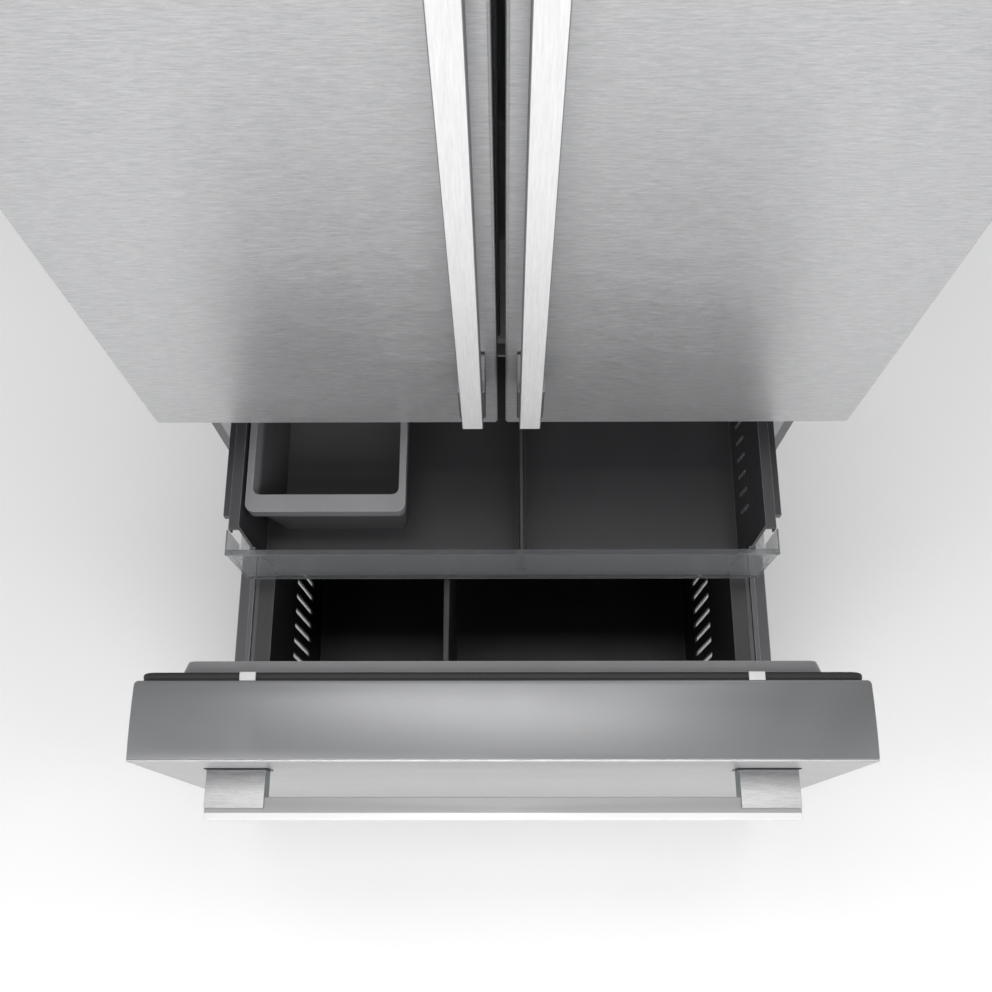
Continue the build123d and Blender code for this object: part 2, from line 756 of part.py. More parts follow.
def tray_front():
    y = (-158.5, -153.5)
    low, top = tray_z
    panel = prism([(-368, top), (368, top), (365, low), (-365, low)], "y", *y)
    panel = fillet(panel.edges().filter_by(Axis.Y).sort_by(Axis.Z)[:2], 8)
    panel += block((-368, 368), (-160.5, y[1]), (top - 5, top))
    panel += block((-362, 362), (-160.5, y[1]), (low + 9, low + 11))
    wing = prism([(-153.5, 575), (-125.5, 600), (-125.5, top), (-153.5, top)], "x", 366.2, 368)
    wing += block((360, 368), (-156, -153), (600, top - 4))
    return [panel + wing + other_side(wing)]


def tray_divider():
    low = tray_z[0] + 3.2
    plate = block((25, 29), (-146, 306), (low, 640))
    plate += block((20, 35), (-146, 306), (low, low + 6))
    return [plate]


def ice_bin():
    low, top = tray_z[0] + 3.3, 664.0
    rim = tapered((((-348, -131), (-97.4, 240)), top - 20), (((-348, -131), (-97.4, 240)), top), 12)
    body = tapered((((-320, -138), (-84, 232)), low), (((-345, -134), (-90, 237)), top - 10), 12)
    cavity = tapered((((-316, -142), (-66, 228)), low + 3), (((-339, -140), (-73, 231)), top), 10)
    return [rim + body - cavity]


# ---- all parts ----


def build():
    door, liner, gasket = door_panel(), door_liner(), door_gasket()
    left_bar, left_brackets = door_handle(-1)
    right_bar, right_brackets = door_handle(1)
    drawer_bar, drawer_brackets = drawer_handle()
    return {
        "cabinet_shell": cabinet_shell(),
        "cabinet_insulation": cabinet_insulation(),
        "back_panel": back_panel(),
        "fridge_liner": fridge_liner(),
        "freezer_liner": freezer_liner(),
        "center_rail": center_rail(),
        "base_frame": base_frame(),
        "leveling_feet": leveling_feet(),
        "rear_rollers": rear_rollers(),
        "toe_grille": toe_grille(),
        "hinge_brackets": both_sides(top_hinge(), center_hinge()),
        "hinge_covers": hinge_covers(),
        "air_duct": air_duct(),
        "control_panel": control_panel(),
        "shelf_ladders": shelf_ladders(),
        "shelf_frames": shelf_frames(),
        "shelf_glass": shelf_glass(),
        "crisper_cover": crisper_cover(),
        "left_crisper": [other_side(s) for s in crisper()],
        "right_crisper": crisper(),
        "evaporator_coil": evaporator_coil(),
        "evaporator_cover": evaporator_cover(),
        "evaporator_fan": evaporator_fan(),
        "compressor": compressor(),
        "condenser_coil": condenser_coil(),
        "condenser_fan": condenser_fan(),
        "fan_shroud": fan_shroud(),
        "machine_cover": machine_cover(),
        "power_inlet": power_inlet(),
        "water_valve": water_valve(),
        "cabinet_slides": cabinet_slides(),
        "slide_middles": slide_middles(),
        "left_door_panel": [other_side(door)],
        "left_door_liner": [other_side(liner)] + mullion_hinges(),
        "left_door_gasket": [other_side(gasket)],
        "left_handle_bar": left_bar,
        "left_handle_brackets": left_brackets,
        "left_door_bins": [other_side(s) for s in door_bins(-1)],
        "mullion_flap": [mullion_flap()],
        "right_door_panel": [door],
        "right_door_liner": [liner],
        "right_door_gasket": [gasket],
        "right_handle_bar": right_bar,
        "right_handle_brackets": right_brackets,
        "right_door_bins": door_bins(1) + [dairy_box()],
        "dairy_lid": [dairy_lid()],
        "drawer_panel": drawer_panel(),
        "drawer_cap": drawer_cap(),
        "drawer_liner": drawer_liner(),
        "drawer_gasket": drawer_gasket(),
        "drawer_clips": drawer_clips(),
        "drawer_handle_bar": drawer_bar,
        "drawer_handle_brackets": drawer_brackets,
        "drawer_rails": drawer_rails(),
        "lower_bin": lower_bin(),
        "bin_divider": bin_divider(),
        "tray_body": tray_body(),
        "tray_front": tray_front(),
        "tray_divider": tray_divider(),
        "ice_bin": ice_bin(),
    }


os.makedirs("parts", exist_ok=True)
for node, shapes in build().items():
    solids = [solid for shape in shapes for solid in shape.solids()]
    export_step(Pos(0, -footprint_middle, 0) * Compound(solids), f"parts/{node}.step")
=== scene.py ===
import math

import bmesh
import bpy
from mathutils import Matrix, Vector


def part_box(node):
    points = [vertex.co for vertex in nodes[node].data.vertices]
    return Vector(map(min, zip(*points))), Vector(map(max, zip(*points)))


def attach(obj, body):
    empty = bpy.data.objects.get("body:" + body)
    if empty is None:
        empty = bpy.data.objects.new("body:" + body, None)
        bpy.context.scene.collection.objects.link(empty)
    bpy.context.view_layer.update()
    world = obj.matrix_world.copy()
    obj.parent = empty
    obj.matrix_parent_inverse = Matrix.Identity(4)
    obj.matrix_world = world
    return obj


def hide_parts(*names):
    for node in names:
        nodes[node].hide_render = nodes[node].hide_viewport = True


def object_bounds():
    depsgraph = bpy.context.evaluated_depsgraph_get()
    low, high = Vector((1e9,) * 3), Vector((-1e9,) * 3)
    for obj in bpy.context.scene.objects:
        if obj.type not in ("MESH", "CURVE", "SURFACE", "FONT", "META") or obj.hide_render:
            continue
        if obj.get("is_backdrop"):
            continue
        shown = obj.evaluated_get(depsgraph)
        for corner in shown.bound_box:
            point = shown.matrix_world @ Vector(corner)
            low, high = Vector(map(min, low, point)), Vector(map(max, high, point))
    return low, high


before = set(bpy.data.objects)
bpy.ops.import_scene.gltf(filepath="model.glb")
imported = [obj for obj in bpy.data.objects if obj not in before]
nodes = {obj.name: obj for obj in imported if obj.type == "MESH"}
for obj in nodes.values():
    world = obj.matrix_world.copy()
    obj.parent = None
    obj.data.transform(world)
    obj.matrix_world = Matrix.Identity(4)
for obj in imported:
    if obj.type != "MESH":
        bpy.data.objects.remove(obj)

cadLow, cadHigh = (Vector(corner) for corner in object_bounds())
print("frame loaded:", len(nodes), "CAD nodes")


# small helpers

def boxOf(node):
    low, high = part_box(node)
    return Vector(low), Vector(high)


def addNode(tree, kind, **settings):
    node = tree.nodes.new(kind)
    for key, value in settings.items():
        setattr(node, key, value)
    return node


def mathNode(tree, operation, first, second=0.0, clamp=False):
    node = addNode(tree, "ShaderNodeMath", operation=operation, use_clamp=clamp)
    for socket, value in zip(node.inputs, (first, second)):
        if isinstance(value, (int, float)):
            socket.default_value = value
        else:
            tree.links.new(value, socket)
    return node.outputs[0]


def scaled(tree, value, factor):
    return mathNode(tree, "MULTIPLY", value, factor)


def added(tree, first, second):
    return mathNode(tree, "ADD", first, second)


def rangeNode(tree, value, fromLow, fromHigh, toLow=0.0, toHigh=1.0):
    node = addNode(tree, "ShaderNodeMapRange")
    tree.links.new(value, node.inputs["Value"])
    limits = {"From Min": fromLow, "From Max": fromHigh, "To Min": toLow, "To Max": toHigh}
    for name, number in limits.items():
        node.inputs[name].default_value = number
    return node.outputs["Result"]


def mixColours(tree, factor, first, second):
    node = addNode(tree, "ShaderNodeMix", data_type="RGBA")
    tree.links.new(factor, node.inputs["Factor"])
    for socket, value in ((node.inputs[6], first), (node.inputs[7], second)):
        if isinstance(value, tuple):
            socket.default_value = (*value, 1)
        else:
            tree.links.new(value, socket)
    return node.outputs[2]


def noiseNode(tree, vector, scale, detail, roughness):
    node = addNode(tree, "ShaderNodeTexNoise")
    tree.links.new(vector, node.inputs["Vector"])
    if isinstance(scale, (int, float)):
        node.inputs["Scale"].default_value = scale
    else:
        tree.links.new(scale, node.inputs["Scale"])
    node.inputs["Detail"].default_value = detail
    node.inputs["Roughness"].default_value = roughness
    return node.outputs["Fac"]


# The place on the piece itself, so that a finish moves with it.
def objectPlace(tree):
    return addNode(tree, "ShaderNodeTexCoord").outputs["Object"]


def split(tree, vector):
    node = addNode(tree, "ShaderNodeSeparateXYZ")
    tree.links.new(vector, node.inputs[0])
    return node.outputs


def newGroup(name, inputs, outputs):
    group = bpy.data.node_groups.new(name, "ShaderNodeTree")
    for socketName, kind, default in inputs:
        socket = group.interface.new_socket(name=socketName, in_out="INPUT", socket_type=kind)
        socket.default_value = default
    for socketName in outputs:
        group.interface.new_socket(name=socketName, in_out="OUTPUT", socket_type="NodeSocketFloat")
    return group, addNode(group, "NodeGroupInput"), addNode(group, "NodeGroupOutput")


def useGroup(tree, group, **values):
    node = addNode(tree, "ShaderNodeGroup", node_tree=group)
    for key, value in values.items():
        node.inputs[key].default_value = value
    return node.outputs


# shared effects

grainLook = dict(
    fine=(1.0, 4.0, 0.7), coarse=(0.4, 2.0, 0.5),    # noise scale, detail and roughness
    fineShare=0.65, coarseShare=0.35, contrast=(0.32, 0.68), drift=(2.0, 0.5), driftContrast=(0.3, 0.7),
)


# Drawn-out scratches of brushed metal: Streak is the fine grain, Drift the slow change from sheet to sheet.
def makeBrushedGrain():
    group, given, made = newGroup(
        "brushedGrain",
        [("Stretch", "NodeSocketVector", (4.0, 900.0, 900.0)), ("Drift Size", "NodeSocketFloat", 5.0)],
        ["Streak", "Drift", "Height"],
    )
    links = group.links
    place = objectPlace(group)
    stretch = addNode(group, "ShaderNodeVectorMath", operation="MULTIPLY")
    links.new(place, stretch.inputs[0])
    links.new(given.outputs["Stretch"], stretch.inputs[1])
    fine = noiseNode(group, stretch.outputs[0], *grainLook["fine"])
    coarse = noiseNode(group, stretch.outputs[0], *grainLook["coarse"])
    fine = scaled(group, fine, grainLook["fineShare"])
    streak = added(group, fine, scaled(group, coarse, grainLook["coarseShare"]))
    drift = noiseNode(group, place, given.outputs["Drift Size"], *grainLook["drift"])
    links.new(rangeNode(group, streak, *grainLook["contrast"]), made.inputs["Streak"])
    links.new(rangeNode(group, drift, *grainLook["driftContrast"]), made.inputs["Drift"])
    links.new(streak, made.inputs["Height"])
    return group


mouldedLook = dict(sand=(2.0, 0.6), tone=(3.0, 0.5), toneContrast=(0.3, 0.7))    # noise detail and roughness


# The fine sandy skin of a moulded part, with a slow change in tone.
def makeMouldedGrain():
    group, given, made = newGroup(
        "mouldedGrain",
        [("Grain", "NodeSocketFloat", 1400.0), ("Tone Size", "NodeSocketFloat", 9.0)],
        ["Height", "Tone"],
    )
    place = objectPlace(group)
    cells = addNode(group, "ShaderNodeTexVoronoi", feature="SMOOTH_F1")
    group.links.new(place, cells.inputs["Vector"])
    group.links.new(given.outputs["Grain"], cells.inputs["Scale"])
    sand = noiseNode(group, place, given.outputs["Grain"], *mouldedLook["sand"])
    group.links.new(added(group, cells.outputs["Distance"], sand), made.inputs["Height"])
    tone = noiseNode(group, place, given.outputs["Tone Size"], *mouldedLook["tone"])
    group.links.new(rangeNode(group, tone, *mouldedLook["toneContrast"]), made.inputs["Tone"])
    return group


# flat and turned are how far the rounded normal agrees with the real one
edgeLook = dict(
    samples=4, flat=0.99, turned=0.8, patch=(4.0, 0.6), patchContrast=(0.3, 0.6), leastPatch=0.35,
)


# Where a surface turns a corner, broken into patches: the mask for the highlights painted along edges.
def makeEdgeTurn():
    group, given, made = newGroup(
        "edgeTurn",
        [("Radius", "NodeSocketFloat", 0.0015), ("Break Up", "NodeSocketFloat", 60.0)],
        ["Edge"],
    )
    links = group.links
    rounded = addNode(group, "ShaderNodeBevel", samples=edgeLook["samples"])
    links.new(given.outputs["Radius"], rounded.inputs["Radius"])
    flat = addNode(group, "ShaderNodeNewGeometry")
    dot = addNode(group, "ShaderNodeVectorMath", operation="DOT_PRODUCT")
    links.new(rounded.outputs["Normal"], dot.inputs[0])
    links.new(flat.outputs["Normal"], dot.inputs[1])
    turn = rangeNode(group, dot.outputs["Value"], edgeLook["flat"], edgeLook["turned"])
    cloud = noiseNode(group, objectPlace(group), given.outputs["Break Up"], *edgeLook["patch"])
    patches = rangeNode(group, cloud, *edgeLook["patchContrast"], edgeLook["leastPatch"])
    links.new(mathNode(group, "MULTIPLY", turn, patches, clamp=True), made.inputs["Edge"])
    return group


wipeLook = dict(distortion=9.0, detail=3.0, cloud=(4.0, 0.6), cloudContrast=(0.45, 0.7))


# Faint wiping marks that change how polished a surface is.
def makeWipeMarks():
    group, given, made = newGroup("wipeMarks", [("Size", "NodeSocketFloat", 7.0)], ["Mark"])
    place = objectPlace(group)
    swirl = addNode(group, "ShaderNodeTexWave", wave_type="RINGS", rings_direction="SPHERICAL")
    group.links.new(place, swirl.inputs["Vector"])
    group.links.new(given.outputs["Size"], swirl.inputs["Scale"])
    swirl.inputs["Distortion"].default_value = wipeLook["distortion"]
    swirl.inputs["Detail"].default_value = wipeLook["detail"]
    cloud = noiseNode(group, place, given.outputs["Size"], *wipeLook["cloud"])
    patches = rangeNode(group, cloud, *wipeLook["cloudContrast"])
    mark = mathNode(group, "MULTIPLY", swirl.outputs["Fac"], patches, clamp=True)
    group.links.new(mark, made.inputs["Mark"])
    return group


faceMaskLook = dict(steepness=4.0)


# Which faces of a bar or bracket look sideways, and which look up or down: masks for the painted shade on the
# sides of bars and brackets and on the drawer bar's top, and for the dark caps on the door tops.
def makeFaceMasks():
    group, given, made = newGroup("faceMasks", [("Start", "NodeSocketFloat", 0.55)], ["Side", "Top"])
    parts = split(group, addNode(group, "ShaderNodeTexCoord").outputs["Normal"])
    for axis, mask in (("X", "Side"), ("Z", "Top")):
        turned = mathNode(group, "ABSOLUTE", parts[axis])
        past = mathNode(group, "SUBTRACT", turned, given.outputs["Start"])
        strong = mathNode(group, "MULTIPLY", past, faceMaskLook["steepness"], clamp=True)
        group.links.new(strong, made.inputs[mask])
    return group


brushedGrain = makeBrushedGrain()
mouldedGrain = makeMouldedGrain()
edgeTurn = makeEdgeTurn()
wipeMarks = makeWipeMarks()
faceMasks = makeFaceMasks()
print("shared effects ready")


# material makers

def startMaterial(name, **sockets):
    material = bpy.data.materials.new(name)
    material.use_nodes = True
    tree = material.node_tree
    shader = tree.nodes["Principled BSDF"]
    for key, value in sockets.items():
        shader.inputs[key.replace("_", " ")].default_value = value
    return material, tree, shader


def partsOf(material):
    return material.node_tree, material.node_tree.nodes["Principled BSDF"]


def addBump(tree, shader, height, strength, distance):
    bump = addNode(tree, "ShaderNodeBump")
    bump.inputs["Strength"].default_value = strength
    bump.inputs["Distance"].default_value = distance
    tree.links.new(height, bump.inputs["Height"])
    tree.links.new(bump.outputs["Normal"], shader.inputs["Normal"])


# One even roughness, made duller where the surface has been wiped.
def addWipedRoughness(tree, shader, marks, markRough, rough):
    tree.links.new(added(tree, scaled(tree, marks, markRough), rough), shader.inputs["Roughness"])


# Lays one more colour over a finished material where the mask says.
def coverColour(tree, shader, mask, colour):
    base = shader.inputs["Base Color"].links[0].from_socket
    tree.links.new(mixColours(tree, mask, base, colour), shader.inputs["Base Color"])


# The edge colour is a highlight painted along edges; the side colour is painted shade on sideways faces, and
# the top colour is a dark cap on the doors and painted shade on the drawer bar.
brushedSteelLook = dict(
    dark=(0.385, 0.39, 0.40), light=(0.61, 0.61, 0.62), edge=(0.88, 0.88, 0.89), Side=None, Top=None,
    rough=(0.29, 0.40), driftRough=0.04, markRough=0.03, markSize=5.0, edgeRadius=0.0012, grainBump=0.35,
    grainDepth=0.00008, metallic=0.66, anisotropic=0.6, turned=0.25, maskStart=0.55,
)


# Highlights on brushed metal spread across the scratches: turned is 0.25 where the scratches run level.
def brushedSteel(name, stretch, look):
    material, tree, shader = startMaterial(
        name, Metallic=look["metallic"], Anisotropic=look["anisotropic"], Anisotropic_Rotation=look["turned"]
    )
    grain = useGroup(tree, brushedGrain, Stretch=stretch)
    marks = useGroup(tree, wipeMarks, Size=look["markSize"])["Mark"]
    turn = useGroup(tree, edgeTurn, Radius=look["edgeRadius"])["Edge"]
    masks = useGroup(tree, faceMasks, Start=look["maskStart"])
    colour = mixColours(tree, grain["Streak"], look["dark"], look["light"])
    # a highlight painted along the edges, then painted shade on the sides and the top colour over the tops
    colour = mixColours(tree, turn, colour, look["edge"])
    for mask in ("Side", "Top"):
        if look[mask]:
            colour = mixColours(tree, masks[mask], colour, look[mask])
    tree.links.new(colour, shader.inputs["Base Color"])
    rough = rangeNode(tree, grain["Streak"], 0.0, 1.0, *look["rough"])
    rough = added(tree, rough, scaled(tree, grain["Drift"], look["driftRough"]))
    rough = added(tree, rough, scaled(tree, marks, look["markRough"]))
    tree.links.new(rough, shader.inputs["Roughness"])
    addBump(tree, shader, grain["Height"], look["grainBump"], look["grainDepth"])
    tangent = addNode(tree, "ShaderNodeTangent", direction_type="RADIAL", axis="Z")
    tree.links.new(tangent.outputs["Tangent"], shader.inputs["Tangent"])
    return material


# the edge white tone is the painted highlight that edges go towards, and edgeShine is how far
plasticLook = dict(
    rough=0.42, markRough=0.08, markSize=11.0, grain=1400.0, bump=0.3, depth=0.00008, shade=0.88,
    edgeRadius=0.0014, edgeHighlightWhite=0.72, edgeShine=0.35, coat=0.0, coatRough=0.15, bend=1.5,
)


def plastic(name, colour, **changes):
    look = {**plasticLook, **changes}
    material, tree, shader = startMaterial(
        name, IOR=look["bend"], Coat_Weight=look["coat"], Coat_Roughness=look["coatRough"]
    )
    skin = useGroup(tree, mouldedGrain, Grain=look["grain"])
    turn = useGroup(tree, edgeTurn, Radius=look["edgeRadius"])["Edge"]
    marks = useGroup(tree, wipeMarks, Size=look["markSize"])["Mark"]
    darker = tuple(look["shade"] * c for c in colour)
    paintedEdgeHighlight = tuple(c + (max(look["edgeHighlightWhite"], c) - c) * look["edgeShine"] for c in colour)
    tone = mixColours(tree, skin["Tone"], darker, colour)
    tree.links.new(mixColours(tree, turn, tone, paintedEdgeHighlight), shader.inputs["Base Color"])
    addWipedRoughness(tree, shader, marks, look["markRough"], look["rough"])
    addBump(tree, shader, skin["Height"], look["bump"], look["depth"])
    return material


# Edges are painted towards the pale edge white tone as a highlight; edge is how far.
satinLook = dict(
    metallic=0.75, rough=0.36, markRough=0.06, markSize=6.0, flakeSize=2600.0, flakeShade=0.93, toneSize=4.0,
    bump=0.12, depth=0.00004, edgeRadius=0.002, edgeBreakUp=20.0, edgeHighlightWhite=0.95, edge=0.4,
    coat=0.25, coatRough=0.3,
)


def satinPaint(name, colour, **changes):
    look = {**satinLook, **changes}
    material, tree, shader = startMaterial(
        name, Metallic=look["metallic"], Coat_Weight=look["coat"], Coat_Roughness=look["coatRough"]
    )
    skin = useGroup(tree, mouldedGrain, Grain=look["flakeSize"], **{"Tone Size": look["toneSize"]})
    turn = useGroup(tree, edgeTurn, Radius=look["edgeRadius"], **{"Break Up": look["edgeBreakUp"]})["Edge"]
    marks = useGroup(tree, wipeMarks, Size=look["markSize"])["Mark"]
    flake = mixColours(tree, skin["Tone"], tuple(look["flakeShade"] * c for c in colour), colour)
    lit = tuple(c + (look["edgeHighlightWhite"] - c) * look["edge"] for c in colour)
    tree.links.new(mixColours(tree, turn, flake, lit), shader.inputs["Base Color"])
    addWipedRoughness(tree, shader, marks, look["markRough"], look["rough"])
    addBump(tree, shader, skin["Height"], look["bump"], look["depth"])
    return material


# body is how much a sheet hides seen face on; the other amounts in the second row add to it
clearLook = dict(
    rough=0.08, markRough=0.1, markSize=9.0, edge=(0.93, 0.95, 0.95), edgeRadius=0.0016, edgeBreakUp=8.0,
    body=0.10, glanceShown=0.45, edgeShown=0.8, markShown=0.04, cutShown=0.6,
    glance=0.25, cutEdge=None, cutFacing=0.92, bend=1.49,
)


# Thin clear sheet: mostly see-through face on, brighter at a glancing angle, with a highlight painted along
# its edges and more shown on its cut edges.
def clearSheet(name, tint, **changes):
    look = {**clearLook, **changes}
    material, tree, shader = startMaterial(name, IOR=look["bend"])
    turn = useGroup(tree, edgeTurn, Radius=look["edgeRadius"], **{"Break Up": look["edgeBreakUp"]})["Edge"]
    marks = useGroup(tree, wipeMarks, Size=look["markSize"])["Mark"]
    facing = split(tree, addNode(tree, "ShaderNodeNewGeometry").outputs["Normal"])
    cutEdge = mathNode(tree, "GREATER_THAN", facing["Z"], look["cutFacing"])
    sheet = mixColours(tree, turn, tint, look["edge"])
    sheet = mixColours(tree, cutEdge, sheet, look["cutEdge"] or tint)
    tree.links.new(sheet, shader.inputs["Base Color"])
    addWipedRoughness(tree, shader, marks, look["markRough"], look["rough"])
    glance = addNode(tree, "ShaderNodeLayerWeight")
    glance.inputs["Blend"].default_value = look["glance"]
    shown = scaled(tree, glance.outputs["Fresnel"], look["glanceShown"])
    shown = added(tree, shown, scaled(tree, turn, look["edgeShown"]))
    shown = added(tree, shown, scaled(tree, marks, look["markShown"]))
    if look["cutEdge"]:
        shown = added(tree, shown, scaled(tree, cutEdge, look["cutShown"]))
    tree.links.new(mathNode(tree, "ADD", shown, look["body"], clamp=True), shader.inputs["Alpha"])
    return material


rubberLook = dict(
    colour=(0.009, 0.009, 0.010), dust=2.0, rough=(0.5, 0.68), grain=900.0, toneSize=30.0,
    bump=0.25, depth=0.0001, bend=1.45,
)


def rubber(name):
    look = rubberLook
    material, tree, shader = startMaterial(name, IOR=look["bend"])
    skin = useGroup(tree, mouldedGrain, Grain=look["grain"], **{"Tone Size": look["toneSize"]})
    dusty = tuple(look["dust"] * c for c in look["colour"])
    tree.links.new(mixColours(tree, skin["Tone"], look["colour"], dusty), shader.inputs["Base Color"])
    tree.links.new(rangeNode(tree, skin["Tone"], 0.0, 1.0, *look["rough"]), shader.inputs["Roughness"])
    addBump(tree, shader, skin["Height"], look["bump"], look["depth"])
    return material


zincLook = dict(
    dark=(0.47, 0.48, 0.49), light=(0.57, 0.58, 0.59), edge=(0.75, 0.75, 0.76), spangle=150.0,
    rough=(0.32, 0.52), edgeRadius=0.001, bump=0.1, depth=0.0001,
)


# Zinc-coated sheet with its crystal spangle, and a highlight painted along its edges.
def zincSheet(name):
    look = zincLook
    material, tree, shader = startMaterial(name, Metallic=1.0)
    spangle = addNode(tree, "ShaderNodeTexVoronoi", feature="F1")
    spangle.inputs["Scale"].default_value = look["spangle"]
    tree.links.new(objectPlace(tree), spangle.inputs["Vector"])
    flake = addNode(tree, "ShaderNodeSeparateColor")
    tree.links.new(spangle.outputs["Color"], flake.inputs[0])
    turn = useGroup(tree, edgeTurn, Radius=look["edgeRadius"])["Edge"]
    colour = mixColours(tree, flake.outputs["Red"], look["dark"], look["light"])
    tree.links.new(mixColours(tree, turn, colour, look["edge"]), shader.inputs["Base Color"])
    rough = rangeNode(tree, flake.outputs["Green"], 0.0, 1.0, *look["rough"])
    tree.links.new(rough, shader.inputs["Roughness"])
    addBump(tree, shader, spangle.outputs["Distance"], look["bump"], look["depth"])
    return material


foamLook = dict(
    deep=(0.62, 0.53, 0.33), skin=(0.80, 0.72, 0.50), rough=(0.75, 0.9), grain=420.0, toneSize=14.0,
    bump=0.6, depth=0.0006,
)


# Rigid foam: small open cells and a yellowish skin.
def foamBlock(name):
    look = foamLook
    material, tree, shader = startMaterial(name)
    skin = useGroup(tree, mouldedGrain, Grain=look["grain"], **{"Tone Size": look["toneSize"]})
    tree.links.new(mixColours(tree, skin["Tone"], look["deep"], look["skin"]), shader.inputs["Base Color"])
    tree.links.new(rangeNode(tree, skin["Tone"], 0.0, 1.0, *look["rough"]), shader.inputs["Roughness"])
    addBump(tree, shader, skin["Height"], look["bump"], look["depth"])
    return material


# steel for the doors, drawer, bars and brackets

doorLook = dict(brushedSteelLook, Top=(0.15, 0.152, 0.158))
# The drawer front's steel is the door steel painted darker: a shaded copy, standing in for the shade on the
# drawer front.
shadedDrawerLook = dict(brushedSteelLook, dark=(0.32, 0.323, 0.33), light=(0.53, 0.53, 0.54), metallic=0.75)
# The bars' steel is painted near-white with little metal, standing in for their bright reflections, and
# lighter still on the upright bars; their sideways faces get painted shade, and the drawer bar's top too.
barHighlightLook = dict(
    brushedSteelLook, dark=(0.66, 0.66, 0.67), light=(0.80, 0.80, 0.81), Side=(0.20, 0.20, 0.205),
    Top=(0.30, 0.30, 0.305), rough=(0.40, 0.48), metallic=0.4,
)
uprightHighlightLook = dict(
    barHighlightLook, dark=(0.71, 0.71, 0.72), light=(0.86, 0.86, 0.87), Top=None, turned=0.0, metallic=0.3,
    maskStart=0.25,
)
# The brackets' sideways faces get painted shade.
bracketLook = dict(
    brushedSteelLook, dark=(0.31, 0.31, 0.32), light=(0.47, 0.47, 0.48), Side=(0.20, 0.22, 0.225),
    rough=(0.28, 0.40), metallic=0.85,
)
coilLook = dict(brushedSteelLook, rough=(0.3, 0.45))

# how the scratches are drawn out, for scratches that run level and upright
alongX, alongZ = (110.0, 1300.0, 1300.0), (1300.0, 1300.0, 60.0)

contactShadeBand = dict(depth=0.00125, colour=(0.012, 0.012, 0.013))


# Bracket metal whose last millimetre against the face is painted dark and not metallic: painted shadow where
# the bracket meets the face.
def bracketSteel(name, faceY):
    material = brushedSteel(name, alongX, bracketLook)
    tree, shader = partsOf(material)
    contactShade = mathNode(tree, "GREATER_THAN", split(tree, objectPlace(tree))["Y"], faceY - contactShadeBand["depth"])
    coverColour(tree, shader, contactShade, contactShadeBand["colour"])
    tree.links.new(mathNode(tree, "SUBTRACT", 1.0, contactShade), shader.inputs["Metallic"])
    return material


lipHighlight = dict(depth=0.008, fade=0.001, colour=(0.68, 0.68, 0.69))


# Bar metal with a highlight painted along its front edge, over the front face and the front of the top.
def lippedSteel(name, frontY):
    material = brushedSteel(name, alongX, barHighlightLook)
    tree, shader = partsOf(material)
    back = frontY + lipHighlight["depth"]
    lip = rangeNode(tree, split(tree, objectPlace(tree))["Y"], back + lipHighlight["fade"], back)
    coverColour(tree, shader, lip, lipHighlight["colour"])
    return material


rimShape = dict(start=0.016, end=0.028, rim=(0.24, 0.237, 0.25), wall=(0.085, 0.084, 0.09), rough=0.34)


# Ice bin plastic, with the walls below its rim painted darker as shade.
def rimmedPlastic(name, rimZ):
    material = plastic(name, rimShape["rim"], rough=rimShape["rough"])
    tree, shader = partsOf(material)
    height = split(tree, objectPlace(tree))["Z"]
    # painted shade on the walls below the rim
    below = rangeNode(tree, height, rimZ - rimShape["start"], rimZ - rimShape["end"])
    coverColour(tree, shader, below, rimShape["wall"])
    return material


lensShape = dict(
    height=0.0016, pitch=0.02, dimmest=0.6, glow=(1.0, 0.97, 0.9), strength=2.5,
    panel=(0.80, 0.81, 0.82), rough=0.3,
)


# Control panel plastic with a lamp lens along its lower back: a lit diffuser with a row of brighter points.
def panelFinish(name):
    material = plastic(name, lensShape["panel"], rough=lensShape["rough"])
    tree, shader = partsOf(material)
    panelLow, panelHigh = boxOf("control_panel")
    place = split(tree, objectPlace(tree))
    low = mathNode(tree, "LESS_THAN", place["Z"], panelLow.z + lensShape["height"])
    behind = mathNode(tree, "GREATER_THAN", place["Y"], (panelLow.y + panelHigh.y) / 2)
    lens = mathNode(tree, "MULTIPLY", low, behind)
    beads = mathNode(tree, "SINE", scaled(tree, place["X"], 2 * math.pi / lensShape["pitch"]))
    glow = mathNode(tree, "MULTIPLY", lens, rangeNode(tree, beads, -1.0, 1.0, lensShape["dimmest"]))
    light = mixColours(tree, glow, (0.0, 0.0, 0.0), lensShape["glow"])
    tree.links.new(light, shader.inputs["Emission Color"])
    shader.inputs["Emission Strength"].default_value = lensShape["strength"]
    return material


# finishes on the CAD nodes

finishes = {}


def dress(material, *dressed):
    finishes[material.name] = material
    for name in dressed:
        mesh = nodes[name].data
        mesh.materials.clear()
        mesh.materials.append(material)


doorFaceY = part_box("left_door_panel")[0][1]
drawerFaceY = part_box("drawer_panel")[0][1]
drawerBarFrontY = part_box("drawer_handle_bar")[0][1]
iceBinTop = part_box("ice_bin")[1][2]

